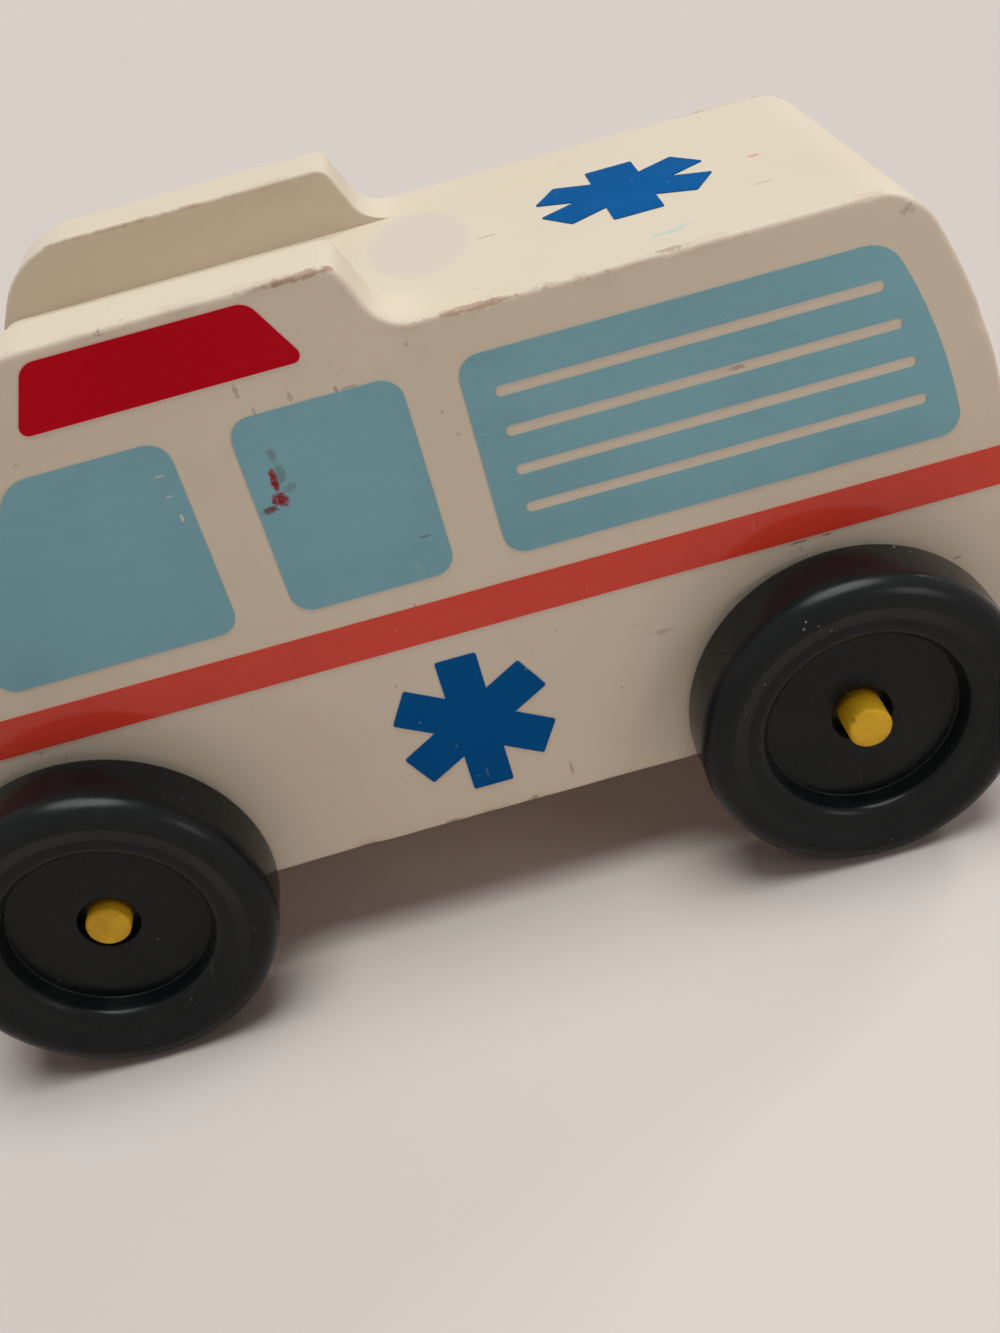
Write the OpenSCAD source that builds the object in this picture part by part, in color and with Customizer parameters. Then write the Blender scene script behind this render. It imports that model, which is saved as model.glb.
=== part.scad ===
// Wooden push-along toy ambulance: a three-layer block body on two dowel axles with pressed-on wheels.
// Frame: +X forward, +Y to the left, +Z up; origin on the floor under the middle of the body.

/* [Body] */
// Length of the body from tail to nose
body_length = 142; // [130:1:160]
// Width of the body over both side panels
body_width = 50; // [44:1:60]
// Thickness of each side panel
panel_thickness = 10; // [7:0.5:13]
// Height of the roof above the underside
roof_height = 64.7; // [60:0.1:72]
// Height of the roof walls above the roof
wall_height = 8; // [6:0.5:11]
// Rounding of the outer edges of the side panels
edge_round = 0.6; // [0.4:0.1:1.4]
// Rounding of the lower front and rear corners
lower_round = 2.5; // [1:0.5:4]

/* [Tail] */
// Lean of the upper tail from the vertical, in degrees
tail_lean = 24; // [18:1:28]
// Radius of the bowed tail
tail_bow = 68; // [40:1:70]
// Height above the underside where the straight tail would kink without its bow
tail_kink = 46.3; // [42:0.1:50]
// Radius of the corner between tail and roof
tail_round = 8; // [4:0.5:10]

/* [Roof walls] */
// Rear end of the roof walls at their top, from mid-length
wall_rear = -1.9; // [-8:0.1:6]
// Lean of the rear end of the roof walls, in degrees
wall_rear_lean = 22.7; // [10:0.1:35]
// Radius where the roof runs up into the roof walls
wall_foot_round = 5; // [2:0.5:6]
// Radius of the upper rear corner of the roof walls
wall_rear_round = 2; // [1.5:0.1:3]
// Radius of the upper front corner of the roof walls
wall_front_round = 11; // [5:0.5:13]

/* [Nose] */
// Length of the bonnet
bonnet_length = 14.2; // [10:0.1:18]
// Height of the bonnet above the underside, at the windscreen
bonnet_height = 36.3; // [34:0.1:42]
// Fall of the bonnet towards the nose
bonnet_fall = 1.5; // [0:0.1:3]
// Radius of the nose
nose_round = 6; // [3:0.5:8]
// Radius between bonnet and windscreen
bonnet_round = 4; // [2:0.5:6]
// Lean of the windscreen from the vertical, in degrees
screen_lean = 27; // [20:1:32]
// Radius between windscreen and the roof of the middle block
roof_front_round = 3; // [1:0.5:5]

/* [Axles] */
// Distance between the two axles
wheelbase = 95.5; // [85:0.5:105]
// Height of the axles above the underside
axle_height = 4.8; // [4.6:0.1:7]
// Diameter of the dowels
dowel_diameter = 5.5; // [5:0.1:6.2]
// Rounding of the ends of the dowels
dowel_end_round = 0.5; // [0.2:0.1:0.8]
// Radial clearance of the dowels in the body
running_clearance = 0.1; // [0.05:0.01:0.1]
// How far the front dowel stands out of the wheel discs
front_peg = 1.1; // [0.5:0.1:4]
// How far the rear dowel stands out of the wheel discs
rear_peg = 3.5; // [0.5:0.1:4]

/* [Wheels] */
// Outside diameter of the wheels
wheel_diameter = 41; // [36:0.5:46]
// Width of the wheels over the tread
wheel_width = 10.2; // [9:0.1:13]
// Gap between the body and the rim of each wheel
wheel_gap = 1; // [0.8:0.1:2]
// Gap between the body and the hub of each wheel
hub_gap = 0.4; // [0.3:0.05:0.6]
// Radius of the outer shoulder of the tread
shoulder_round = 3; // [2:0.1:3.4]
// Width of the flat crown of the ring, next to that shoulder
crown_width = 0.4; // [0.3:0.1:0.8]
// How far the ring dips from its crown
dish_depth = 0.9; // [0.4:0.1:1.1]
// Width of the slope into that dip
dish_width = 1.9; // [1.6:0.1:2.4]
// Rounding of both ends of the slope
dish_round = 1.2; // [0.5:0.1:1.5]
// Radius of the inner shoulder of the tread
inner_shoulder_round = 1; // [0.5:0.1:2]
// Depth of the disc below the crown of the ring
disc_depth = 4.1; // [3.6:0.1:5]
// Rounding of the edge of the disc
disc_round = 0.2; // [0.1:0.1:0.8]
// Width of the raised ring from the tread to the lip of the recess
ring_width = 7.9; // [7.7:0.1:9]
// Widening of the recess from the disc to its lip
recess_draft = 0.4; // [0.2:0.1:1.5]
// Rounding of the lip of the recess
lip_round = 1.8; // [0.5:0.1:2.2]
// Radial room round the dowel in the face of the disc
eye_room = 1; // [0.5:0.05:1.5]
// Depth of that room
eye_depth = 2.4; // [1:0.1:2.8]
// Wall of the hub round the dowel
hub_wall = 3; // [2:0.1:4]
// Depth of the hollow in the back of the wheel
back_depth = 2; // [1:0.1:2.5]
// Width of the solid rim round that hollow
rim_wall = 3.6; // [3:0.1:6]

/* [Painted panels] */
// Thickness of the printed films
film_thickness = 0.12; // [0.1:0.01:0.2]
// Height of the lower edge of the stripe above the underside
stripe_height = 26.9; // [22:0.1:28]
// Width of the stripe
stripe_width = 5; // [3:0.1:6]
// Gap between the stripe and the windows
sill_gap = 3.2; // [2:0.1:5]
// Gap between the windows and the roof line
head_gap = 5.2; // [4:0.1:8]
// Radius of the corners of the windows
window_round = 2.6; // [1:0.1:4]
// Radius of the upper outer corners of the front and rear windows
window_outer_round = 4.5; // [2:0.1:6]
// Rear edge of the door window, from mid-length
door_rear = -5.2; // [-10:0.1:0]
// Width of the door window
door_width = 19.2; // [12:0.1:22]
// Gap between the door window and the front window
front_pillar = 6.6; // [4:0.1:9]
// Gap between the door window and the rear window
rear_pillar = 6.1; // [4:0.1:9]
// Gap between the front window and the windscreen edge
screen_gap = 5.8; // [4:0.1:9]
// Gap between the rear window and the tail
tail_gap = 5.3; // [4:0.1:8]
// Count of bare lines in the rear window
line_count = 4; // [2:1:4]
// Spacing of those lines
line_pitch = 4.78; // [3.5:0.01:5]
// Width of those lines
line_width = 1.3; // [0.6:0.1:1.6]
// Height of the middle of those lines above the middle of the rear window
line_rise = 0.25; // [0:0.05:0.5]
// Gap between the ends of those lines and the edges of the rear window
line_gap = 3.4; // [2:0.1:6]
// Gap between the light panel and the rear ends of the roof walls
light_rear_gap = 9; // [6:0.1:12]
// Gap between the light panel and the windscreen edge
light_front_gap = 8; // [6:0.1:12]
// Gap between the light panel and the top of the roof walls
light_top_gap = 1.4; // [1:0.1:3]
// Height of the light panel
light_height = 7.5; // [4:0.1:8]
// Lean of the rear edge of the light panel, in degrees
light_rear_lean = 29; // [10:1:40]
// Lean of the front edge of the light panel, in degrees
light_front_lean = 23.5; // [10:0.5:40]
// Radius of the upper corners of the light panel
light_upper_round = 2.2; // [0.5:0.1:3]
// Radius of the lower corners of the light panel
light_lower_round = 0.9; // [0.3:0.1:2]
// Width of the film on the windscreen
screen_width = 38; // [28:0.5:42]
// Gap between that film and the bonnet, along the slope
screen_foot_gap = 5; // [4:0.1:8]
// Height of that film along the slope
screen_height = 20; // [12:0.1:22]

/* [Stars] */
// Centre of the side star, from mid-length
side_star_x = -1.8; // [-10:0.1:10]
// Height of the centre of the side star above the underside
side_star_height = 14.1; // [12:0.1:16]
// Length of the bars of the side star
side_star_length = 19.4; // [14:0.1:20]
// Width of the bars of the side star
side_star_bar = 5.1; // [3:0.1:6]
// Centre of the roof star, from mid-length
roof_star_x = -35.8; // [-42:0.1:-26]
// Length of the bars of the roof star
roof_star_length = 20.5; // [14:0.1:24]
// Width of the bars of the roof star
roof_star_bar = 5.9; // [3:0.1:7]
// Rounding of the corners of the bars
star_round = 0.3; // [0.1:0.1:0.8]

/* [Hidden] */
$fn = 96;
left = 1;
right = -1;
arc_steps = 8;
sharp_round = 0.05;

half_length = body_length / 2;
half_width = body_width / 2;
core_width = body_width - 2 * panel_thickness;
axle_z = wheel_diameter / 2;
underside_z = axle_z - axle_height;
roof_z = underside_z + roof_height;
wall_z = roof_z + wall_height;
bonnet_z = underside_z + bonnet_height;
kink_z = underside_z + tail_kink;
bow_start_z = kink_z - tail_bow * tan(tail_lean / 2);
dowel_radius = dowel_diameter / 2;
sill_z = underside_z + stripe_height + stripe_width + sill_gap;
head_z = roof_z - head_gap;
door_front = door_rear + door_width;
disc_y = half_width + wheel_gap + wheel_width - disc_depth;

// Edges of the outline at a height z
function screen_x(z) = half_length - bonnet_length - (z - bonnet_z) * tan(screen_lean);
function wall_rear_x(z) = wall_rear - (wall_z - z) * tan(wall_rear_lean);
function tail_x(z) = tail_bow - half_length - sqrt(pow(tail_bow, 2) - pow(max(z - bow_start_z, 0), 2));

// Corners of the body seen from its right side, anticlockwise, each [x, z, radius]
lower_corners = [
    [-half_length, underside_z, lower_round],
    [half_length, underside_z, lower_round],
    [half_length, bonnet_z - bonnet_fall, nose_round],
    [screen_x(bonnet_z), bonnet_z, bonnet_round]
];
tail_corners = [
    [(roof_z - kink_z) * tan(tail_lean) - half_length, roof_z, tail_round],
    [-half_length, kink_z, tail_bow]
];
wall_corners = [
    [screen_x(wall_z), wall_z, wall_front_round],
    [wall_rear, wall_z, wall_rear_round],
    [wall_rear_x(roof_z), roof_z, wall_foot_round]
];
roof_corner = [screen_x(roof_z), roof_z, roof_front_round];
// The tail carried straight up past the roof walls, in front of a plain block
tall_z = wall_z + wall_height;
tall_tail_corners = [
    [-half_length, underside_z, 0],
    [half_length, underside_z, 0],
    [half_length, tall_z, 0],
    [(tall_z - kink_z) * tan(tail_lean) - half_length, tall_z, 0],
    [-half_length, kink_z, tail_bow]
];
panel_corners = concat(lower_corners, wall_corners, tail_corners);
core_corners = concat(lower_corners, [roof_corner], tail_corners);

// Corner geometry of a closed outline: directions, inward normals and turning angles
function flat(corner) = [corner[0], corner[1]];
function next(list, i) = list[(i + 1) % len(list)];
function before(list, i) = list[(i + len(list) - 1) % len(list)];
function unit(v) = v / norm(v);
function inward(v) = [-v[1], v[0]];
function spin(v, angle) = [v[0] * cos(angle) - v[1] * sin(angle), v[0] * sin(angle) + v[1] * cos(angle)];
function edge_in(corners, i) = unit(flat(corners[i]) - flat(before(corners, i)));
function edge_out(corners, i) = unit(flat(next(corners, i)) - flat(corners[i]));
function turn(corners, i) = acos(edge_in(corners, i) * edge_out(corners, i));
function bend(corners, i) = sign(cross(edge_in(corners, i), edge_out(corners, i)));

// The same outline with every edge moved inwards
function inset_corner(corners, i, inset) =
    let (a = inward(edge_in(corners, i)), b = inward(edge_out(corners, i)))
    let (p = flat(corners[i]) + inset * (a + b) / (1 + a * b))
    [p[0], p[1], corners[i][2] == 0 ? 0 : max(corners[i][2] - bend(corners, i) * inset, sharp_round)];
function inset_outline(corners, inset) =
    inset == 0 ? corners : [for (i = [0 : len(corners) - 1]) inset_corner(corners, i, inset)];

// Radii limited so that two neighbouring arcs share the edge between them
function reach(corners, i) = corners[i][2] * tan(turn(corners, i) / 2);
function share(corners, i) =
    let (j = (i + 1) % len(corners))
    let (wanted = reach(corners, i) + reach(corners, j))
    wanted == 0 ? 1 : min(1, norm(flat(corners[j]) - flat(corners[i])) / wanted);
function fitted_radius(corners, i) =
    corners[i][2] * min(share(corners, i), share(corners, (i + len(corners) - 1) % len(corners)));

// Points of one rounded corner, or the corner itself where its radius is zero
function arc(corners, i, radius) =
    let (u = edge_in(corners, i), angle = turn(corners, i), side = bend(corners, i))
    let (centre = flat(corners[i]) - u * radius * tan(angle / 2) + side * radius * inward(u))
    [for (k = [0 : arc_steps]) centre + spin(-side * radius * inward(u), side * angle * k / arc_steps)];
function rounded(corners, inset = 0) =
    let (moved = inset_outline(corners, inset))
    [for (i = [0 : len(moved) - 1])
        each (moved[i][2] == 0 ? [flat(moved[i])] : arc(moved, i, fitted_radius(moved, i)))];

// Corners of a rectangle between two points, all of one radius
function box_corners(low, high, radius) = [
    [low[0], low[1], radius], [high[0], low[1], radius],
    [high[0], high[1], radius], [low[0], high[1], radius]
];

// An upright plate from y_low, whose outline is drawn in X and Z
module upright(y_low, thickness) {
    translate([0, y_low + thickness, 0])
        rotate([90, 0, 0])
            linear_extrude(thickness)
                children();
}

// An upright plate whose edge on the far side is rounded off
module eased_plate(corners, y_low, thickness, round_radius) {
    quarter_steps = 3;
    step_angle = 90 / quarter_steps;
    y_round = y_low + thickness - round_radius;
    rows = concat(
        [[y_low, 0]],
        [for (k = [0 : quarter_steps])
            [y_round + round_radius * sin(k * step_angle), round_radius * (1 - cos(k * step_angle))]]
    );
    count = len(rounded(corners));
    points = [for (row = rows) for (p = rounded(corners, row[1])) [p[0], row[0], p[1]]];
    sides = [for (row = [0 : len(rows) - 2]) for (i = [0 : count - 1])
        let (j = (i + 1) % count, low = row * count, high = low + count)
        [low + i, low + j, high + j, high + i]];
    near_cap = [for (i = [count - 1 : -1 : 0]) i];
    far_cap = [for (i = [0 : count - 1]) (len(rows) - 1) * count + i];
    polyhedron(points, concat(sides, [near_cap, far_cap]));
}

// Places its children as they are on the left, mirrored on the right
module on_side(side) {
    mirror([0, side == right ? 1 : 0, 0])
        children();
}

// Running holes for both dowels
module axle_holes() {
    for (x = [-wheelbase / 2, wheelbase / 2])
        translate([x, 0, axle_z])
            rotate([90, 0, 0])
                cylinder(r = dowel_radius + running_clearance, h = 2 * body_width, center = true);
}

module center_block() {
    color("linen")
        difference() {
            upright(-core_width / 2, core_width)
                polygon(rounded(core_corners));
            axle_holes();
        }
}

module side_panel(side) {
    color("ivory")
        on_side(side)
            difference() {
                eased_plate(panel_corners, core_width / 2, panel_thickness, edge_round);
                axle_holes();
            }
}

// A dowel across the body that stands out of both wheel discs by the length of its peg
module axle(x, peg) {
    end = disc_y + peg;
    section = [
        [0, -end, 0], [dowel_radius, -end, dowel_end_round],
        [dowel_radius, end, dowel_end_round], [0, end, 0]
    ];
    color("goldenrod")
        translate([x, 0, axle_z])
            rotate([-90, 0, 0])
                rotate_extrude()
                    polygon(rounded(section));
}

// A wheel with a deep-set disc, a hub pressed on the dowel and a hollow back
module wheel(x, side) {
    radius = wheel_diameter / 2;
    crown_radius = radius - shoulder_round - crown_width;
    lip_radius = radius - ring_width;
    hub_radius = dowel_radius + hub_wall;
    ring_level = wheel_width - dish_depth;
    disc_level = wheel_width - disc_depth;
    eye_radius = dowel_radius + eye_room;
    hub_level = hub_gap - wheel_gap;
    section = [
        [dowel_radius, hub_level, 0],
        [hub_radius, hub_level, 0],
        [hub_radius, back_depth, 0],
        [radius - rim_wall, back_depth, 0],
        [radius - rim_wall, 0, 0],
        [radius, 0, inner_shoulder_round],
        [radius, wheel_width, shoulder_round],
        [crown_radius, wheel_width, dish_round],
        [crown_radius - dish_width, ring_level, dish_round],
        [lip_radius, ring_level, lip_round],
        [lip_radius - recess_draft, disc_level, disc_round],
        [eye_radius, disc_level, 0],
        [eye_radius, disc_level - eye_depth, 0],
        [dowel_radius, disc_level - eye_depth, 0]
    ];
    color("black")
        on_side(side)
            translate([x, half_width + wheel_gap, axle_z])
                rotate([-90, 0, 0])
                    rotate_extrude()
                        polygon(rounded(section));
}

// A printed film on the outer face of a side panel
module side_film(side) {
    on_side(side)
        upright(half_width, film_thickness)
            children();
}

module front_window(side) {
    rear = door_front + front_pillar;
    slope_gap = screen_gap / cos(screen_lean);
    corners = [
        [rear, sill_z, window_round],
        [screen_x(sill_z) - slope_gap, sill_z, window_round],
        [screen_x(head_z) - slope_gap, head_z, window_outer_round],
        [rear, head_z, window_round]
    ];
    color("lightblue")
        side_film(side)
            polygon(rounded(corners));
}

module door_window(side) {
    color("lightblue")
        side_film(side)
            polygon(rounded(box_corners([door_rear, sill_z], [door_front, head_z], window_round)));
}

// The field of the rear window ahead of the bowed tail, between two heights
module rear_window_field(front, low) {
    intersection() {
        polygon(rounded(tall_tail_corners, tail_gap));
        translate([-half_length, low])
            square([half_length + front, head_z - low]);
    }
}

module eased(radius) {
    offset(r = radius, $fn = 32)
        offset(delta = -radius)
            children();
}

// The rear window follows the bow of the tail and leaves a row of bare lines
module rear_window(side) {
    front = door_rear - rear_pillar;
    middle_z = (sill_z + head_z) / 2 + line_rise;
    spare = 2 * window_outer_round;
    color("lightblue")
        side_film(side)
            difference() {
                intersection() {
                    eased(window_round)
                        rear_window_field(front, sill_z);
                    eased(window_outer_round)
                        rear_window_field(front + spare, sill_z - spare);
                }
                for (i = [0 : line_count - 1])
                    rear_window_line(front, middle_z + (i - (line_count - 1) / 2) * line_pitch);
            }
}

module rear_window_line(front, z) {
    rear = tail_x(z) + tail_gap;
    end = line_gap + line_width / 2;
    translate([rear + end, z])
        circle(d = line_width);
    translate([front - end, z])
        circle(d = line_width);
    translate([rear + end, z - line_width / 2])
        square([front - rear - 2 * end, line_width]);
}

module light_panel(side) {
    top = wall_z - light_top_gap;
    bottom = top - light_height;
    rear = wall_rear_x(bottom) + light_rear_gap;
    front = screen_x(bottom) - light_front_gap;
    corners = [
        [rear, bottom, light_lower_round],
        [front, bottom, light_lower_round],
        [front - light_height * tan(light_front_lean), top, light_upper_round],
        [rear + light_height * tan(light_rear_lean), top, light_upper_round]
    ];
    color("crimson")
        side_film(side)
            polygon(rounded(corners));
}

module stripe(side) {
    color("orangered")
        side_film(side)
            intersection() {
                polygon(rounded(panel_corners, edge_round));
                translate([-half_length, underside_z + stripe_height])
                    square([body_length, stripe_width]);
            }
}

// Three crossed bars
module star(bar_length, bar_width) {
    arm_pitch = 60;
    half_bar = [bar_width, bar_length] / 2;
    for (i = [0 : 2])
        rotate(i * arm_pitch)
            polygon(rounded(box_corners(-half_bar, half_bar, star_round)));
}

module side_star(side) {
    color("mediumblue")
        side_film(side)
            translate([side_star_x, underside_z + side_star_height])
                star(side_star_length, side_star_bar);
}

module roof_star() {
    color("mediumblue")
        translate([roof_star_x, 0, roof_z])
            linear_extrude(film_thickness)
                star(roof_star_length, roof_star_bar);
}

module windscreen() {
    low = [-screen_width / 2, screen_foot_gap];
    high = [screen_width / 2, screen_foot_gap + screen_height];
    color("lightblue")
        translate([screen_x(bonnet_z), 0, bonnet_z])
            rotate([0, -screen_lean, 0])
                rotate([90, 0, 90])
                    linear_extrude(film_thickness)
                        polygon(rounded(box_corners(low, high, window_round)));
}

center_block();
side_panel(left);  // left_side_panel
side_panel(right);  // right_side_panel
axle(wheelbase / 2, front_peg);  // front_axle
axle(-wheelbase / 2, rear_peg);  // rear_axle
wheel(wheelbase / 2, left);  // front_left_wheel
wheel(wheelbase / 2, right);  // front_right_wheel
wheel(-wheelbase / 2, left);  // rear_left_wheel
wheel(-wheelbase / 2, right);  // rear_right_wheel
front_window(left);  // left_front_window
front_window(right);  // right_front_window
door_window(left);  // left_door_window
door_window(right);  // right_door_window
rear_window(left);  // left_rear_window
rear_window(right);  // right_rear_window
light_panel(left);  // left_light_panel
light_panel(right);  // right_light_panel
stripe(left);  // left_stripe
stripe(right);  // right_stripe
side_star(left);  // left_star
side_star(right);  // right_star
roof_star();
windscreen();
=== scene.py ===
"""Looks of a wooden push-along toy ambulance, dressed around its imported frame. Lengths are metres."""
import math

import bpy
import numpy as np
from mathutils import Matrix, Vector, noise
from mathutils.geometry import tessellate_polygon


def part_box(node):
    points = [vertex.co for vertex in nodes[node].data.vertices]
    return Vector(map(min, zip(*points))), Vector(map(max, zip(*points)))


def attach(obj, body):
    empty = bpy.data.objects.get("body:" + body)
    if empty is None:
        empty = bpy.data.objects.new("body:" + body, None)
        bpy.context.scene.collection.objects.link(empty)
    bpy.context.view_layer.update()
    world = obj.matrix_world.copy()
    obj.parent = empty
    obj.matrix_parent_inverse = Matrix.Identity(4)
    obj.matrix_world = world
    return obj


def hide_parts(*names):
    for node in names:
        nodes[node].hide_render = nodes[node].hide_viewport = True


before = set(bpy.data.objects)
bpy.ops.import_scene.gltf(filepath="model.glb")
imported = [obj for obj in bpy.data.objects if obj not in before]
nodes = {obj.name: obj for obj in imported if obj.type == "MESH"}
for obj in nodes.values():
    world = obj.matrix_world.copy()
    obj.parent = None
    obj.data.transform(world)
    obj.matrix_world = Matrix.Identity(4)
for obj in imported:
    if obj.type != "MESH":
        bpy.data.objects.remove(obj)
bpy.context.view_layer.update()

MM = 0.001

# Body: rounding of the painted edges, and how finely their outline is drawn
EDGE_ROUND = 0.6 * MM
INNER_ROUND = 0.4 * MM
SEAM_ROUND = 0.03 * MM
OUTLINE_PITCH = 0.7 * MM
ROUND_STEPS = 5
SHARP_DEGREES = 38
FLAT_TOLERANCE = 0.01 * MM
SUPPORT = 0.3 * MM
WEAR_REACH = 1.1 * MM

# Dents in the rounded edges: x, z, half-length along the edge and extra rounding
EDGE_DENTS = [
    (-69.1, 63.3, 1.6, 0.6), (-61.4, 78.0, 1.3, 0.4), (-57.8, 80.4, 1.1, 0.35), (-36.8, 80.4, 1.6, 0.35),
    (-15.0, 80.4, 3.0, 0.3), (1.0, 88.4, 2.4, 0.3), (8.0, 88.4, 1.6, 0.25), (-28.0, 15.7, 1.2, 0.4),
    (16.0, 15.7, 1.4, 0.5), (55.0, 57.0, 1.2, 0.4), (70.5, 40.0, 1.6, 0.5), (-71.0, 30.0, 1.4, 0.5),
]

# Wheel section
WHEEL_GAP = 1.0 * MM
HUB_GAP = 0.4 * MM
SHOULDER = 3.0 * MM
INNER_SHOULDER = 1.0 * MM
CROWN_WIDTH = 0.4 * MM
DISH_DEPTH = 0.9 * MM
DISH_WIDTH = 1.9 * MM
DISH_ROUND = 1.2 * MM
DISC_DEPTH = 4.1 * MM
DISC_ROUND = 0.2 * MM
RING_WIDTH = 7.9 * MM
RECESS_DRAFT = 0.4 * MM
LIP_ROUND = 1.8 * MM
EYE_ROOM = 1.0 * MM
EYE_DEPTH = 2.4 * MM
HUB_WALL = 3.0 * MM
BACK_DEPTH = 2.0 * MM
RIM_WALL = 3.6 * MM
SMALL_ROUND = 0.25 * MM
WHEEL_SEGMENTS = 144
ARC_STEPS = 10
DOWEL_SEGMENTS = 64
DOWEL_END_ROUND = 0.5 * MM
SAW_CUT = 0.16 * MM

# Camera: place, viewing direction, roll and lens in the frame of a 1000 by 1333 picture
IMAGE_WIDTH = 1000
IMAGE_HEIGHT = 1333
FOCAL_PIXELS = 1521.8
PRINCIPAL_PIXEL = (556.9, 688.5)
CAMERA_PLACE = (-0.01237, 0.18010, 0.13373)
CAMERA_FORWARD = (-0.00115, -0.83463, -0.55081)
CAMERA_ROLL = -15.43
SENSOR_MM = 36.0

CREAM = (0.744, 0.645, 0.523)
WINDOW_BLUE = (0.235, 0.465, 0.54)
LIGHT_RED = (0.56, 0.003, 0.014)
STRIPE_RED = (0.74, 0.055, 0.03)
STAR_BLUE = (0.001, 0.094, 0.315)
WORN_BROWN = (0.30, 0.175, 0.115)
DEEP_BLACK = (0.0045, 0.0062, 0.0072)
SOFT_BLACK = (0.0075, 0.0092, 0.0102)
HAZE_GREY = (0.10, 0.10, 0.10)
DUST_GREY = (0.42, 0.42, 0.40)
SCUFF_GREY = (0.16, 0.16, 0.16)

# Stage: table and far background, fill light from all round, and soft lights, each with the way to it,
# its spread in degrees, strength and colour
TABLE = (0.679, 0.603, 0.584)
TABLE_HALF = 6.0
BACKDROP = (0.70, 0.63, 0.60)
FILL = (1.0, 0.80, 0.75)
FILL_STRENGTH = 0.14
SOFT_LIGHTS = {
    "overhead_light": ((-0.10, 0.04, 0.95), 40.0, 2.62, (0.943, 1.0, 0.962)),
    "window_light": ((-0.85, -0.65, 0.70), 12.0, 0.50, (1.0, 0.99, 0.97)),
}

# Lamp beside the tail: place, the point it faces, full cone in degrees, radius, watts and colour
TAIL_LAMP = (-0.20, 0.20, 0.13)
TAIL_LAMP_AIM = (-0.04, 0.025, 0.045)
TAIL_LAMP_CONE = 75.0
TAIL_LAMP_RADIUS = 0.05
TAIL_LAMP_WATTS = 0.28
TAIL_LAMP_COLOUR = (1.0, 0.97, 0.94)


def srgb(red, green, blue):
    """Linear colour of an 8-bit screen colour."""
    return tuple(((c / 255 + 0.055) / 1.055) ** 2.4 for c in (red, green, blue))


# Materials
class Tree:
    """A material's node tree, with short calls for the nodes used here."""

    def __init__(self, name):
        self.material = bpy.data.materials.new(name)
        self.material.use_nodes = True
        self.tree = self.material.node_tree
        self.tree.nodes.clear()

    def add(self, kind, inputs=None, **settings):
        node = self.tree.nodes.new(kind)
        for key, value in settings.items():
            setattr(node, key, value)
        for key, value in (inputs or {}).items():
            self.put(node.inputs[key], value)
        return node

    def put(self, socket, value):
        if isinstance(value, bpy.types.NodeSocket):
            self.tree.links.new(value, socket)
        elif socket.type == "RGBA":
            socket.default_value = (*value, 1.0)
        else:
            socket.default_value = value

    def place(self):
        return self.add("ShaderNodeTexCoord").outputs["Object"]

    def stretch(self, coords, scale):
        return self.add("ShaderNodeVectorMath", {0: coords, 1: scale}, operation="MULTIPLY").outputs[0]

    def noise(self, coords, scale, detail=3.0, rough=0.55):
        inputs = {"Vector": coords, "Scale": scale, "Detail": detail, "Roughness": rough}
        return self.add("ShaderNodeTexNoise", inputs).outputs[0]

    def math(self, operation, a, b=0.0, c=0.0):
        return self.add("ShaderNodeMath", {0: a, 1: b, 2: c}, operation=operation).outputs[0]

    def ramp(self, value, low, high, out_low=0.0, out_high=1.0):
        inputs = {"Value": value, "From Min": low, "From Max": high, "To Min": out_low, "To Max": out_high}
        return self.add("ShaderNodeMapRange", inputs, interpolation_type="SMOOTHSTEP").outputs[0]

    def mix(self, factor, a, b, blend="MIX"):
        node = self.add("ShaderNodeMix", data_type="RGBA", blend_type=blend)
        for index, value in ((0, factor), (6, a), (7, b)):
            self.put(node.inputs[index], value)
        return node.outputs[2]

    def bump(self, height, depth, normal=None):
        inputs = {"Height": height, "Distance": depth}
        if normal is not None:
            inputs["Normal"] = normal
        return self.add("ShaderNodeBump", inputs).outputs[0]

    def blob(self, coords, centre, half, ragged):
        """A ragged patch round a point, 1 inside and 0 outside; a very ragged one is broken up too."""
        shifted = self.add("ShaderNodeVectorMath", {0: coords, 1: centre}, operation="SUBTRACT").outputs[0]
        scaled = self.add("ShaderNodeVectorMath", {0: shifted, 1: half}, operation="DIVIDE").outputs[0]
        reach = self.add("ShaderNodeVectorMath", {0: scaled}, operation="LENGTH").outputs["Value"]
        grain = 1.4 / math.sqrt(min(half) * max(half))
        edge = self.math("MULTIPLY_ADD", self.noise(coords, grain, 5.0, 0.7), ragged, reach)
        core = 0.5 if ragged > 1.0 else 0.85
        mask = self.ramp(edge, 1.0 + 0.5 * ragged, core + 0.5 * ragged)
        if ragged < 1.0:
            return mask
        gaps = self.ramp(self.noise(coords, 2.5 * grain, 4.0, 0.75), 0.26, 0.48)
        return self.math("MULTIPLY", mask, gaps)

    def finish(self, **inputs):
        named = {key.replace("_", " "): value for key, value in inputs.items()}
        shader = self.add("ShaderNodeBsdfPrincipled", named)
        output = self.add("ShaderNodeOutputMaterial")
        self.tree.links.new(shader.outputs[0], output.inputs[0])
        return self.material


def marked(t, coords, colour, marks):
    """Lays ragged marks over a colour: centre and half-size in mm, mark colour, strength, raggedness."""
    for centre, half, mark_colour, strength, ragged in marks:
        place = tuple(c * MM for c in centre)
        size = tuple(h * MM for h in half)
        mask = t.blob(coords, place, size, ragged)
        colour = t.mix(t.math("MULTIPLY", mask, strength), colour, mark_colour)
    return colour


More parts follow.
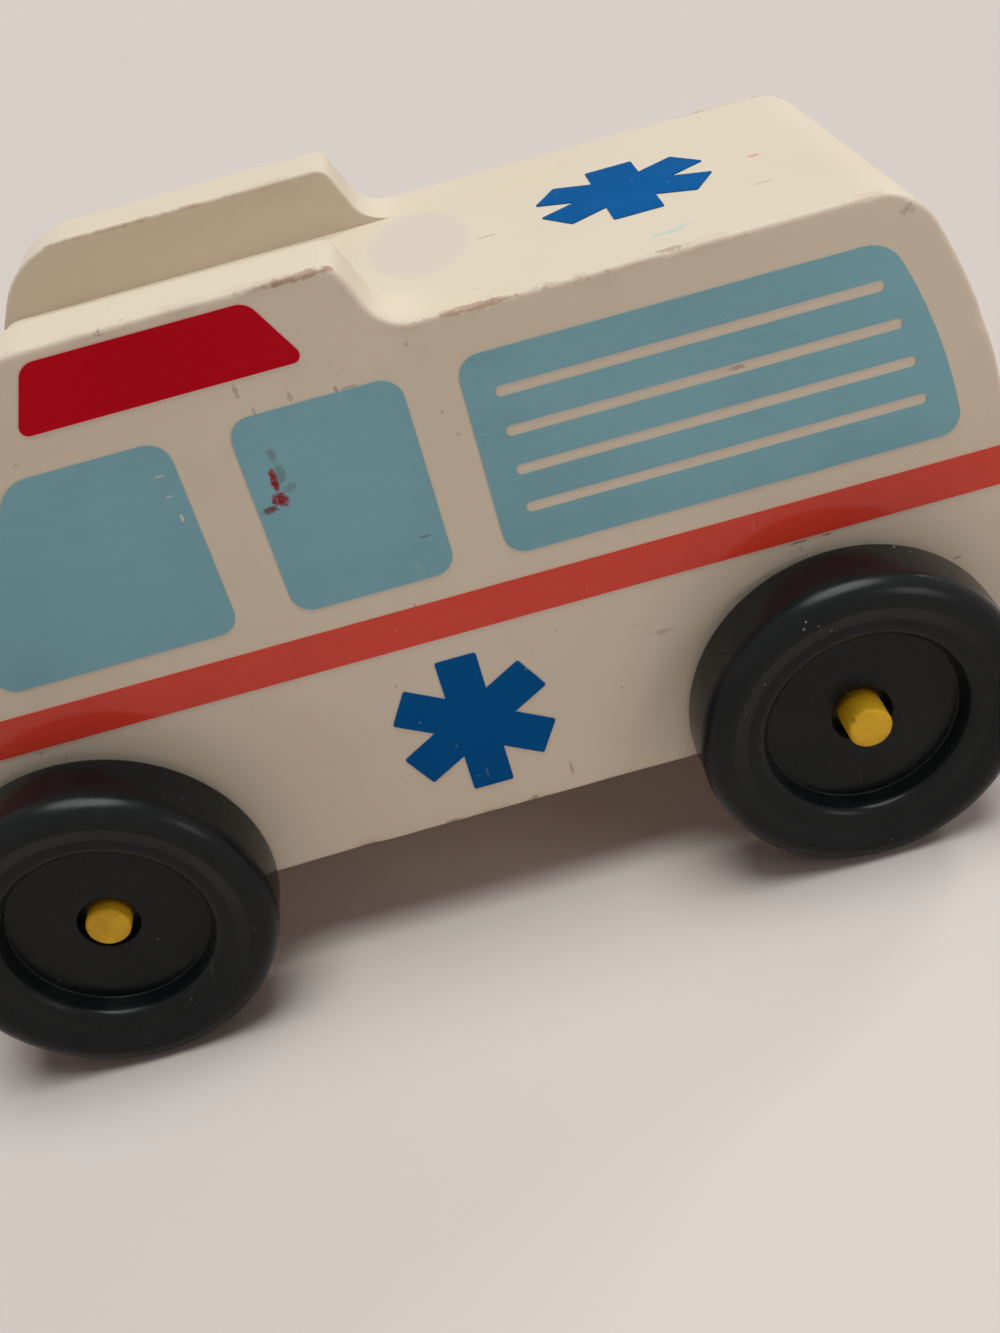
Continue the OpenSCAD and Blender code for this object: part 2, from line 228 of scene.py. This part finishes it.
TEAL_SMEAR = srgb(150, 200, 205)
RUBBED = srgb(157, 117, 96)
SCUFFED = srgb(156, 126, 107)
GREYED = srgb(174, 154, 136)
CHIPPED = srgb(212, 190, 166)
ROSE = srgb(222, 150, 140)
PALE_GREY = srgb(210, 199, 190)
SOOT = srgb(72, 64, 57)
SMOKE = srgb(109, 112, 105)
RED_PAINT = srgb(145, 16, 20)
DULL_RED = srgb(120, 30, 34)
DARK_TEAL = srgb(84, 108, 108)
BARE_FILM = srgb(208, 214, 210)

# Paint tones: clouds, grime, specks and faint scuffs; dowel tones
CLOUDED = srgb(206, 188, 166)
GRIMY = srgb(176, 150, 126)
SPECK = srgb(150, 122, 100)
FAINT_SCUFF = srgb(165, 142, 122)
MUSTARD = srgb(231, 181, 36)
DEEP_MUSTARD = srgb(214, 164, 30)
DARK_FIBRE = srgb(168, 118, 26)
BARE_CHIP = srgb(120, 84, 30)

# On the paint: smears and specks of the roof, the round patch, then the left side from tail to nose
PAINT_MARKS = [
    ((-37.4, 19.2, 80.4), (2.2, 0.5, 1.0), TEAL_SMEAR, 0.7, 2.2),
    ((-39.2, 18.3, 80.4), (1.3, 0.4, 1.0), TEAL_SMEAR, 0.6, 2.2),
    ((-36.4, 24.4, 80.3), (2.3, 0.55, 0.6), RUBBED, 0.6, 1.8),
    ((-51.6, 0.7, 80.4), (0.8, 0.6, 0.5), ROSE, 0.8, 0.8),
    ((-49.8, 11.4, 80.4), (1.4, 0.4, 0.5), GREYED, 0.5, 1.6),
    ((-18.6, 3.5, 80.4), (1.6, 0.35, 0.5), GREYED, 0.7, 2.0),
    ((-10.7, -1.0, 80.4), (6.6, 13.8, 0.6), PALE_GREY, 0.55, 0.1),
    ((-69.0, 24.4, 63.3), (0.9, 0.8, 1.3), CHIPPED, 0.7, 1.2),
    ((-63.6, 25.0, 34.2), (0.7, 0.5, 0.2), SOOT, 0.5, 1.4),
    ((-61.6, 24.6, 77.9), (1.5, 0.6, 0.9), SCUFFED, 0.6, 1.8),
    ((-57.9, 24.4, 80.2), (2.2, 0.8, 0.6), CHIPPED, 0.6, 1.8),
    ((-48.1, 25.0, 42.2), (0.8, 0.5, 0.13), SOOT, 0.75, 1.8),
    ((-44.8, 25.0, 42.2), (1.3, 0.5, 0.16), SOOT, 0.75, 1.8),
    ((-41.0, 25.0, 65.7), (1.3, 0.5, 0.35), SMOKE, 0.5, 2.0),
    ((-26.7, 25.0, 35.3), (1.5, 0.5, 0.5), GREYED, 0.5, 2.2),
    ((-15.6, 24.7, 15.8), (1.9, 0.6, 0.35), SCUFFED, 0.65, 1.9),
    ((-14.6, 24.7, 80.1), (6.6, 0.65, 0.45), RUBBED, 0.7, 1.8),
    ((-11.7, 25.0, 19.0), (0.22, 0.5, 1.3), RUBBED, 0.6, 1.6),
    ((-7.4, 24.7, 15.9), (1.4, 0.6, 0.3), SCUFFED, 0.6, 1.9),
    ((-0.3, 24.7, 15.9), (1.8, 0.6, 0.35), SCUFFED, 0.7, 1.9),
    ((0.2, 25.0, 75.4), (1.0, 0.5, 0.2), SCUFFED, 0.5, 2.0),
    ((1.5, 24.7, 88.0), (7.2, 0.7, 0.5), RUBBED, 0.75, 1.8),
    ((1.6, 25.0, 75.5), (0.25, 0.5, 0.6), SCUFFED, 0.6, 1.8),
    ((4.7, 24.7, 16.1), (1.5, 0.6, 0.5), SCUFFED, 0.7, 1.9),
    ((6.5, 25.0, 76.0), (0.35, 0.5, 0.7), SCUFFED, 0.45, 2.2),
    ((10.6, 25.0, 75.6), (0.16, 0.5, 0.7), SOOT, 0.35, 1.5),
    ((11.7, 25.0, 78.2), (0.3, 0.5, 0.9), SCUFFED, 0.55, 2.2),
    ((24.0, -15.2, 88.1), (16.0, 0.3, 0.35), RUBBED, 0.5, 2.2),
]

# On the left door window: smoky smears beside a splash of red paint, and a scratch
DOOR_MARKS = [
    ((10.4, 25.0, 70.4), (0.5, 1.0, 1.1), SMOKE, 0.5, 2.4),
    ((10.2, 25.0, 67.9), (0.8, 1.0, 1.4), SMOKE, 0.5, 2.4),
    ((9.7, 25.0, 66.1), (0.9, 1.0, 0.7), SMOKE, 0.4, 2.4),
    ((11.1, 25.0, 67.3), (0.55, 1.0, 1.7), RED_PAINT, 0.95, 1.5),
    ((11.2, 25.0, 65.0), (1.1, 1.0, 1.0), RED_PAINT, 0.95, 1.9),
    ((12.7, 25.0, 64.2), (1.2, 1.0, 0.55), DULL_RED, 0.85, 2.0),
    ((-2.8, 25.0, 56.1), (0.9, 1.0, 0.2), DARK_TEAL, 0.7, 1.8),
]

# On the left front window: a chip and two scratches
FRONT_MARKS = [
    ((22.0, 25.0, 66.1), (0.2, 1.0, 0.55), BARE_FILM, 0.95, 0.6),
    ((22.6, 25.0, 71.4), (0.7, 1.0, 0.12), BARE_FILM, 0.7, 0.8),
    ((22.4, 25.0, 68.9), (0.4, 1.0, 0.13), BARE_FILM, 0.6, 0.8),
]


def painted_wood():
    """Satin cream enamel over wood: faint mottling, specks, grime and rubbed edges."""
    t = Tree("painted_wood")
    here = t.place()
    wear = t.add("ShaderNodeAttribute", attribute_name="wear").outputs["Fac"]
    broad = t.noise(here, 24.0, 3.0)
    shaded = tuple(c * f for c, f in zip(CREAM, (0.965, 0.95, 0.93)))
    colour = t.mix(t.ramp(broad, 0.35, 0.7), CREAM, shaded)
    cloud = t.noise(here, 110.0, 4.0, 0.6)
    colour = t.mix(t.ramp(cloud, 0.52, 0.8, 0.0, 0.16), colour, CLOUDED)
    grime = t.math("MULTIPLY", t.ramp(t.noise(here, 55.0, 4.0, 0.7), 0.5, 0.72), wear)
    colour = t.mix(t.math("MULTIPLY", grime, 0.35), colour, GRIMY)
    specks = t.ramp(t.noise(here, 900.0, 1.0), 0.75, 0.80)
    patch = t.ramp(t.noise(here, 70.0, 2.0), 0.42, 0.62)
    colour = t.mix(t.math("MULTIPLY", t.math("MULTIPLY", specks, patch), 0.45), colour, SPECK)
    scuff = t.ramp(t.noise(t.stretch(here, (200.0, 200.0, 1300.0)), 1.0, 2.0), 0.74, 0.78)
    colour = t.mix(t.math("MULTIPLY", t.math("MULTIPLY", scuff, patch), 0.3), colour, FAINT_SCUFF)
    rub = t.noise(here, 420.0, 5.0, 0.7)
    runs = t.noise(here, 34.0, 2.0)
    broken = t.math("ADD", t.ramp(rub, 0.5, 0.68), t.ramp(runs, 0.55, 0.75, -0.25, 0.5))
    worn = t.math("MULTIPLY", wear, broken)
    bare = t.ramp(worn, 0.5, 0.95)
    colour = t.mix(t.math("MULTIPLY", bare, 0.62), colour, WORN_BROWN)
    colour = marked(t, here, colour, PAINT_MARKS)
    peel = t.noise(here, 420.0, 2.0)
    skin = t.math("MULTIPLY_ADD", peel, 0.35, t.math("MULTIPLY", cloud, 0.4))
    height = t.math("MULTIPLY_ADD", bare, -0.6, skin)
    rough = t.math("MULTIPLY_ADD", bare, 0.3, t.ramp(broad, 0.3, 0.7, 0.40, 0.50))
    return t.finish(Base_Color=colour, Roughness=rough, Normal=t.bump(height, 0.00005),
                    Specular_IOR_Level=0.3)


def film(name, colour, rough, coat, marks=()):
    """A printed coat: faint brush lines along the body, pinholes and scuffs that let the cream through."""
    t = Tree(name)
    here = t.place()
    deep = tuple(c * 0.9 for c in colour)
    light = tuple(min(1.0, c * 1.2 + 0.01) for c in colour)
    tone = t.mix(t.ramp(t.noise(here, 40.0, 3.0), 0.35, 0.7), colour, deep)
    lines = t.noise(t.stretch(here, (60.0, 2600.0, 2600.0)), 1.0, 3.0)
    tone = t.mix(t.ramp(lines, 0.45, 0.75, 0.0, 0.14), tone, light)
    holes = t.ramp(t.noise(here, 1200.0, 1.0), 0.785, 0.82)
    tone = t.mix(t.math("MULTIPLY", holes, 0.3), tone, CREAM)
    scratch = t.ramp(t.noise(t.stretch(here, (900.0, 300.0, 140.0)), 1.0, 2.0), 0.735, 0.775)
    tone = t.mix(t.math("MULTIPLY", scratch, 0.12), tone, CREAM)
    tone = marked(t, here, tone, marks)
    height = t.math("MULTIPLY_ADD", t.noise(here, 500.0, 2.0), 0.5, lines)
    shine = t.ramp(t.noise(here, 90.0, 3.0), 0.3, 0.75, rough - 0.05, rough + 0.06)
    return t.finish(Base_Color=tone, Roughness=shine, Normal=t.bump(height, 0.00003), Coat_Weight=coat,
                    Coat_Roughness=0.1, Specular_IOR_Level=0.04)


def wheel_black():
    """Satin black moulding with dust specks, faint scuffs and a fine moulded skin."""
    t = Tree("wheel_black")
    here = t.place()
    tone = t.mix(t.ramp(t.noise(here, 60.0, 3.0), 0.35, 0.7), DEEP_BLACK, SOFT_BLACK)
    haze = t.ramp(t.noise(here, 130.0, 4.0, 0.7), 0.55, 0.8, 0.0, 0.06)
    tone = t.mix(haze, tone, HAZE_GREY)
    grains = t.ramp(t.noise(here, 1400.0, 0.0), 0.85, 0.88)
    dust = t.math("MULTIPLY", grains, t.ramp(t.noise(here, 90.0), 0.5, 0.6))
    tone = t.mix(t.math("MULTIPLY", dust, 0.6), tone, DUST_GREY)
    scuff = t.ramp(t.noise(t.stretch(here, (1100.0, 240.0, 240.0)), 1.0, 2.0), 0.74, 0.78)
    tone = t.mix(t.math("MULTIPLY", scuff, 0.12), tone, SCUFF_GREY)
    skin = t.noise(here, 1500.0, 2.0)
    rough = t.ramp(t.noise(here, 170.0, 3.0), 0.3, 0.75, 0.22, 0.31)
    return t.finish(Base_Color=tone, Roughness=rough, Normal=t.bump(skin, 0.000008),
                    Specular_IOR_Level=0.18)


def dowel_yellow():
    """Mustard paint on a cut dowel: grain along its length and grime."""
    t = Tree("dowel_yellow")
    here = t.place()
    tone = t.mix(t.ramp(t.noise(here, 220.0, 3.0), 0.35, 0.7), MUSTARD, DEEP_MUSTARD)
    fibre = t.noise(t.stretch(here, (1500.0, 70.0, 1500.0)), 1.0, 3.0)
    tone = t.mix(t.ramp(fibre, 0.5, 0.78, 0.0, 0.35), tone, DARK_FIBRE)
    chips = t.ramp(t.noise(here, 700.0, 2.0), 0.70, 0.75)
    tone = t.mix(t.math("MULTIPLY", chips, 0.5), tone, BARE_CHIP)
    rough = t.ramp(fibre, 0.3, 0.8, 0.40, 0.55)
    return t.finish(Base_Color=tone, Roughness=rough, Normal=t.bump(fibre, 0.00005),
                    Specular_IOR_Level=0.25)


# Mesh building
def make_piece(name, verts, faces, material, body, replaced, wear=None):
    mesh = bpy.data.meshes.new(name)
    mesh.from_pydata([tuple(v) for v in verts], [], faces)
    mesh.validate()
    mesh.polygons.foreach_set("use_smooth", [True] * len(mesh.polygons))
    mesh.set_sharp_from_angle(angle=math.radians(SHARP_DEGREES))
    if wear is not None:
        mesh.attributes.new("wear", "FLOAT", "POINT").data.foreach_set("value", wear)
    mesh.materials.append(material)
    piece = bpy.data.objects.new(name, mesh)
    bpy.context.scene.collection.objects.link(piece)
    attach(piece, body)
    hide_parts(replaced)
    return piece


def flat_loops(node, level):
    """Closed loops in X and Z round the flat face of a CAD node at a height in Y, longest first."""
    mesh = nodes[node].data
    mesh.calc_loop_triangles()
    points = {}
    edges = set()
    for triangle in mesh.loop_triangles:
        corners = [mesh.vertices[i].co for i in triangle.vertices]
        if max(abs(c.y - level) for c in corners) > FLAT_TOLERANCE:
            continue
        keys = [(round(c.x, 7), round(c.z, 7)) for c in corners]
        for a, b in zip(keys, keys[1:] + keys[:1]):
            if (b, a) in edges:
                edges.remove((b, a))
            else:
                edges.add((a, b))
    follow = dict(edges)
    loops = []
    while follow:
        start, here = follow.popitem()
        loop = [start]
        while here != start:
            loop.append(here)
            here = follow.pop(here)
        loops.append(np.array(loop))
    loops.sort(key=lambda loop: -np.ptp(loop[:, 0]))
    return [anticlockwise(loop) for loop in loops]


def anticlockwise(loop):
    x, z = loop.T
    area = np.sum(x * np.roll(z, -1) - np.roll(x, -1) * z)
    return loop if area > 0 else loop[::-1]


def resampled(loop, pitch):
    closed = np.vstack([loop, loop[:1]])
    along = np.concatenate([[0.0], np.cumsum(np.linalg.norm(np.diff(closed, axis=0), axis=1))])
    places = np.linspace(0.0, along[-1], int(along[-1] / pitch), endpoint=False)
    return np.column_stack([np.interp(places, along, closed[:, k]) for k in (0, 1)])


def inward(loop):
    run = np.roll(loop, -1, axis=0) - np.roll(loop, 1, axis=0)
    run /= np.linalg.norm(run, axis=1)[:, None]
    return np.column_stack([-run[:, 1], run[:, 0]])


def plate(outline, holes, rows):
    """A closed upright plate. Each row is (y, inset, wear): the outline at that y, moved inwards."""
    count = len(outline)
    normal = inward(outline)
    verts, wear, faces = [], [], []
    for y, inset, worn in rows:
        ring = outline + normal * inset[:, None]
        verts += [(p[0], v, p[1]) for p, v in zip(ring, y)]
        wear += list(worn)
    for row in range(len(rows) - 1):
        low, high = row * count, (row + 1) * count
        for i in range(count):
            j = (i + 1) % count
            faces.append((low + i, high + i, high + j, low + j))
    starts = []
    for y in (rows[0][0][0], rows[-1][0][0]):
        for hole in holes:
            starts.append(len(verts))
            verts += [(p[0], y, p[1]) for p in hole]
            wear += [0.0] * len(hole)
    for k, hole in enumerate(holes):
        near, far = starts[k], starts[k + len(holes)]
        for i in range(len(hole)):
            j = (i + 1) % len(hole)
            faces.append((near + i, near + j, far + j, far + i))
    last = count * (len(rows) - 1)
    near_holes, far_holes = starts[:len(holes)], starts[len(holes):]
    for first, group, flip in ((0, near_holes, False), (last, far_holes, True)):
        ids = list(range(first, first + count))
        loops = [[Vector((verts[i][0], verts[i][2], 0.0)) for i in ids]]
        for start, hole in zip(group, holes):
            ring = list(range(start, start + len(hole)))
            ids += ring
            loops.append([Vector((verts[i][0], verts[i][2], 0.0)) for i in ring])
        for a, b, c in tessellate_polygon(loops):
            faces.append(facing((ids[a], ids[b], ids[c]), verts, flip))
    return verts, faces, wear


def facing(triangle, verts, towards_plus_y):
    a, b, c = (Vector(verts[i]) for i in triangle)
    plus = (b - a).cross(c - a).y > 0
    return triangle if plus == towards_plus_y else triangle[::-1]


def jitter(outline, scale, seed):
    return np.array([noise.noise(Vector((p[0] * scale, p[1] * scale, seed))) for p in outline])


def corner_room(outline):
    """How far the outline can move inwards before it folds at its tightest corner nearby."""
    run = np.roll(outline, -1, axis=0) - outline
    heading = np.arctan2(run[:, 1], run[:, 0])
    turn = (heading - np.roll(heading, 1) + math.pi) % (2 * math.pi) - math.pi
    room = OUTLINE_PITCH / np.clip(turn, 0.01, None)
    near = [np.roll(room, shift) for shift in range(-5, 6)]
    return 0.8 * np.min(near, axis=0)


def edge_rounding(outline, seed):
    """Rounding along an outer edge: hand-sanded unevenness and a few dents."""
    radius = EDGE_ROUND * (1.0 + 0.3 * jitter(outline, 130.0, seed) + 0.2 * jitter(outline, 520.0, seed))
    for x, z, half, extra in EDGE_DENTS:
        away = np.hypot(outline[:, 0] - x * MM, outline[:, 1] - z * MM) / (half * MM)
        radius += extra * MM * np.exp(-away ** 2) * (0.7 + 0.6 * jitter(outline, 900.0, seed + 3.0))
    return np.minimum(radius, 0.7 * corner_room(outline))


def side_panel(side, sign, material):
    """A side panel with a rounded, worn outer edge and rounded inner edges along its roof wall."""
    node = side + "_side_panel"
    low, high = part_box(node)
    inner, outer = min(abs(low[1]), abs(high[1])), max(abs(low[1]), abs(high[1]))
    loops = flat_loops(node, sign * inner)
    outline = resampled(loops[0], OUTLINE_PITCH)
    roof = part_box("center_block")[1][2]
    above = np.clip((outline[:, 1] - roof - 0.3 * MM) / (1.5 * MM), 0.0, 1.0)
    outer_round = edge_rounding(outline, 5.0 if sign > 0 else 11.0)
    inner_round = SEAM_ROUND + INNER_ROUND * above * (1.0 + 0.2 * jitter(outline, 300.0, 21.0))
    room = corner_room(outline)
    full, none = np.ones(len(outline)), np.zeros(len(outline))
    rows = [(full * inner, inner_round + SUPPORT, 0.3 * above)]
    for k in range(ROUND_STEPS + 1):
        angle = math.pi / 2 * k / ROUND_STEPS
        level = inner + inner_round * (1 - math.cos(angle))
        rows.append((level, inner_round * (1 - math.sin(angle)), 0.7 * above))
    rows.append((inner + inner_round + WEAR_REACH, none, none))
    rows.append((outer - outer_round - WEAR_REACH, none, none))
    for k in range(ROUND_STEPS + 1):
        angle = math.pi / 2 * k / ROUND_STEPS
        level = outer - outer_round * (1 - math.sin(angle))
        rows.append((level, outer_round * (1 - math.cos(angle)), full))
    rows.append((full * outer, np.minimum(outer_round + SUPPORT, 0.85 * room), 0.5 * full))
    rows.append((full * outer, np.minimum(outer_round + WEAR_REACH, room), none))
    verts, faces, wear = plate(outline, loops[1:], rows)
    if sign < 0:
        verts = [(x, -y, z) for x, y, z in verts]
        faces = [face[::-1] for face in faces]
    return make_piece("painted_" + node, verts, faces, material, "body", node, wear)


def center_block(material):
    node = "center_block"
    low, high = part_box(node)
    loops = flat_loops(node, high[1])
    outline = resampled(loops[0], OUTLINE_PITCH)
    full, none = np.ones(len(outline)), np.zeros(len(outline))
    rows = [
        (full * low[1], SEAM_ROUND * full, none),
        (full * (low[1] + SEAM_ROUND), none, none),
        (full * (high[1] - SEAM_ROUND), none, none),
        (full * high[1], SEAM_ROUND * full, none),
    ]
    verts, faces, wear = plate(outline, loops[1:], rows)
    return make_piece("painted_" + node, verts, faces, material, "body", node, wear)


def filleted(corners, steps):
    """Points of a closed outline whose corners (r, s, radius) are rounded by arcs."""
    points = []
    for i, (r, s, radius) in enumerate(corners):
        here = Vector((r, s))
        come = (here - Vector(corners[i - 1][:2])).normalized()
        leave = (Vector(corners[(i + 1) % len(corners)][:2]) - here).normalized()
        if radius == 0:
            points.append(here)
            continue
        turn = math.atan2(come.cross(leave), come.dot(leave))
        start = here - come * radius * math.tan(abs(turn) / 2)
        side = math.copysign(1.0, turn)
        centre = start + Vector((-come.y, come.x)) * side * radius
        arm = start - centre
        for k in range(steps + 1):
            points.append(centre + Matrix.Rotation(turn * k / steps, 2) @ arm)
    return points


def lathe(section, centre, sign, segments):
    """A closed section of (r, s) points turned about Y; s runs outwards from the centre."""
    count = len(section)
    verts, faces = [], []
    for k in range(segments):
        angle = 2 * math.pi * k / segments
        for r, s in section:
            x, z = r * math.cos(angle), r * math.sin(angle)
            verts.append((centre[0] + x, centre[1] + sign * s, centre[2] + z))
    for k in range(segments):
        low, high = k * count, (k + 1) % segments * count
        for i in range(count):
            j = (i + 1) % count
            face = (low + i, low + j, high + j, high + i)
            faces.append(face[::-1] if sign > 0 else face)
    return verts, faces


def wheel(end, side, sign, material):
    node = end + "_" + side + "_wheel"
    low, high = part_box(node)
    radius = (high[2] - low[2]) / 2
    face = max(abs(low[1]), abs(high[1]))
    panel = max(abs(v) for v in (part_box(side + "_side_panel")[0][1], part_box(side + "_side_panel")[1][1]))
    back = panel + WHEEL_GAP
    width = face - back
    axle_low, axle_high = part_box(end + "_axle")
    bore = (axle_high[2] - axle_low[2]) / 2
    ring = width - DISH_DEPTH
    disc = width - DISC_DEPTH
    crown = radius - SHOULDER - CROWN_WIDTH
    lip = radius - RING_WIDTH
    eye = bore + EYE_ROOM
    section = filleted([
        (bore, HUB_GAP - WHEEL_GAP, 0), (bore + HUB_WALL, HUB_GAP - WHEEL_GAP, SMALL_ROUND),
        (bore + HUB_WALL, BACK_DEPTH, SMALL_ROUND), (radius - RIM_WALL, BACK_DEPTH, SMALL_ROUND),
        (radius - RIM_WALL, 0.0, SMALL_ROUND), (radius, 0.0, INNER_SHOULDER), (radius, width, SHOULDER),
        (crown, width, DISH_ROUND), (crown - DISH_WIDTH, ring, DISH_ROUND),
        (lip, ring, LIP_ROUND), (lip - RECESS_DRAFT, disc, DISC_ROUND),
        (eye, disc, SMALL_ROUND), (eye, disc - EYE_DEPTH, 0), (bore, disc - EYE_DEPTH, 0),
    ], ARC_STEPS)
    centre = ((low[0] + high[0]) / 2, sign * back, (low[2] + high[2]) / 2)
    verts, faces = lathe(section, centre, sign, WHEEL_SEGMENTS)
    return make_piece("moulded_" + node, verts, faces, material, end + "_wheelset", node)


def axle(end, material):
    """A dowel with slightly uneven, rounded ends."""
    node = end + "_axle"
    low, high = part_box(node)
    radius = (high[2] - low[2]) / 2
    half = high[1]
    centre = ((low[0] + high[0]) / 2, 0.0, (low[2] + high[2]) / 2)
    rim = [(radius - DOWEL_END_ROUND * (1 - math.sin(a)), half - DOWEL_END_ROUND * (1 - math.cos(a)))
           for a in (math.pi / 2 * k / ROUND_STEPS for k in range(ROUND_STEPS, -1, -1))]
    inner = [(radius * f, half) for f in (0.7, 0.4, 0.12)]
    rows = rim + inner
    rows = [(r, -s) for r, s in reversed(rows)] + rows
    verts, faces = [], []
    for r, s in rows:
        for k in range(DOWEL_SEGMENTS):
            angle = 2 * math.pi * k / DOWEL_SEGMENTS
            x, z = r * math.cos(angle), r * math.sin(angle)
            cut = SAW_CUT * (1 + noise.noise(Vector((x * 260.0, z * 260.0, s * 400.0))))
            verts.append((centre[0] + x, s - math.copysign(cut, s), centre[2] + z))
    for row in range(len(rows) - 1):
        low_row, high_row = row * DOWEL_SEGMENTS, (row + 1) * DOWEL_SEGMENTS
        for k in range(DOWEL_SEGMENTS):
            j = (k + 1) % DOWEL_SEGMENTS
            faces.append((low_row + k, low_row + j, high_row + j, high_row + k))
    faces.append(tuple(range(DOWEL_SEGMENTS)))
    last = (len(rows) - 1) * DOWEL_SEGMENTS
    faces.append(tuple(last + k for k in reversed(range(DOWEL_SEGMENTS))))
    faces = [face[::-1] for face in faces]
    return make_piece("painted_" + node, verts, faces, material, end + "_wheelset", node)


def dress(node, material):
    """Gives a CAD node that stays its finished material."""
    mesh = nodes[node].data
    mesh.materials.clear()
    mesh.materials.append(material)


# The object
paint = painted_wood()
black = wheel_black()
yellow = dowel_yellow()
window = film("window_blue", WINDOW_BLUE, 0.5, 0.0)
door_glass = film("door_window_blue", WINDOW_BLUE, 0.5, 0.0, DOOR_MARKS)
front_glass = film("front_window_blue", WINDOW_BLUE, 0.5, 0.0, FRONT_MARKS)
crimson = film("light_red", LIGHT_RED, 0.5, 0.0)
red = film("stripe_red", STRIPE_RED, 0.30, 0.6)
blue = film("star_blue", STAR_BLUE, 0.7, 0.0)

center_block(paint)
for side, sign in (("left", 1), ("right", -1)):
    side_panel(side, sign, paint)
    dress(side + "_front_window", front_glass if side == "left" else window)
    dress(side + "_door_window", door_glass if side == "left" else window)
    dress(side + "_rear_window", window)
    dress(side + "_light_panel", crimson)
    dress(side + "_stripe", red)
    dress(side + "_star", blue)
    for end in ("front", "rear"):
        wheel(end, side, sign, black)
dress("roof_star", blue)
dress("windscreen", window)
for end in ("front", "rear"):
    axle(end, yellow)


# Stage, light and camera
def floor():
    t = Tree("pale_table")
    here = t.place()
    tone = t.mix(t.ramp(t.noise(here, 6.0, 3.0), 0.35, 0.7), TABLE, tuple(c * 0.975 for c in TABLE))
    material = t.finish(Base_Color=tone, Roughness=0.8, Specular_IOR_Level=0.15)
    half = TABLE_HALF
    mesh = bpy.data.meshes.new("table")
    corners = [(-half, -half, 0), (half, -half, 0), (half, half, 0), (-half, half, 0)]
    mesh.from_pydata(corners, [], [(0, 1, 2, 3)])
    mesh.materials.append(material)
    table = bpy.data.objects.new("table", mesh)
    bpy.context.scene.collection.objects.link(table)


def soft_light(name, towards, spread, strength, colour):
    """A soft light from one direction, even over the whole table; its spread is in degrees."""
    light = bpy.data.lights.new(name, "SUN")
    light.angle = math.radians(spread)
    light.energy = strength
    light.color = colour
    lamp = bpy.data.objects.new(name, light)
    lamp.rotation_euler = Vector(towards).to_track_quat("Z", "Y").to_euler()
    bpy.context.scene.collection.objects.link(lamp)


def tail_lamp():
    """A soft spot beside the tail, so that the left side is brighter there than at the nose."""
    light = bpy.data.lights.new("tail_lamp", "SPOT")
    light.spot_size = math.radians(TAIL_LAMP_CONE)
    light.spot_blend = 1.0
    light.shadow_soft_size = TAIL_LAMP_RADIUS
    light.energy = TAIL_LAMP_WATTS
    light.color = TAIL_LAMP_COLOUR
    lamp = bpy.data.objects.new("tail_lamp", light)
    lamp.location = TAIL_LAMP
    away = Vector(TAIL_LAMP) - Vector(TAIL_LAMP_AIM)
    lamp.rotation_euler = away.to_track_quat("Z", "Y").to_euler()
    lamp.visible_camera = False
    bpy.context.scene.collection.objects.link(lamp)


def studio():
    """Plain fill light from all round, the soft lights, and a far background in the table's tone."""
    world = bpy.data.worlds.new("studio")
    world.use_nodes = True
    bpy.context.scene.world = world
    tree = world.node_tree
    fill = tree.nodes["Background"]
    fill.inputs["Color"].default_value = (*FILL, 1.0)
    fill.inputs["Strength"].default_value = FILL_STRENGTH
    backdrop = tree.nodes.new("ShaderNodeBackground")
    backdrop.inputs["Color"].default_value = (*BACKDROP, 1.0)
    rays = tree.nodes.new("ShaderNodeLightPath")
    seen = rays.outputs["Is Camera Ray"]
    for kind in ("Is Glossy Ray", "Is Transmission Ray"):
        either = tree.nodes.new("ShaderNodeMath")
        either.operation = "MAXIMUM"
        tree.links.new(seen, either.inputs[0])
        tree.links.new(rays.outputs[kind], either.inputs[1])
        seen = either.outputs[0]
    choice = tree.nodes.new("ShaderNodeMixShader")
    tree.links.new(seen, choice.inputs[0])
    tree.links.new(fill.outputs[0], choice.inputs[1])
    tree.links.new(backdrop.outputs[0], choice.inputs[2])
    tree.links.new(choice.outputs[0], tree.nodes["World Output"].inputs[0])
    for name, (towards, spread, strength, colour) in SOFT_LIGHTS.items():
        soft_light(name, towards, spread, strength, colour)
    tail_lamp()


def camera():
    data = bpy.data.cameras.new("camera")
    data.sensor_width = SENSOR_MM
    data.lens = FOCAL_PIXELS / IMAGE_HEIGHT * SENSOR_MM
    data.shift_x = (IMAGE_WIDTH / 2 - PRINCIPAL_PIXEL[0]) / IMAGE_HEIGHT
    data.shift_y = (PRINCIPAL_PIXEL[1] - IMAGE_HEIGHT / 2) / IMAGE_HEIGHT
    data.clip_start = 0.01
    seer = bpy.data.objects.new("camera", data)
    forward = Vector(CAMERA_FORWARD).normalized()
    level = forward.to_track_quat("-Z", "Y").to_matrix()
    turned = level @ Matrix.Rotation(math.radians(CAMERA_ROLL), 3, "Z")
    seer.matrix_world = Matrix.Translation(CAMERA_PLACE) @ turned.to_4x4()
    bpy.context.scene.collection.objects.link(seer)
    bpy.context.scene.camera = seer


floor()
studio()
camera()
bpy.context.scene.view_settings.view_transform = "Standard"
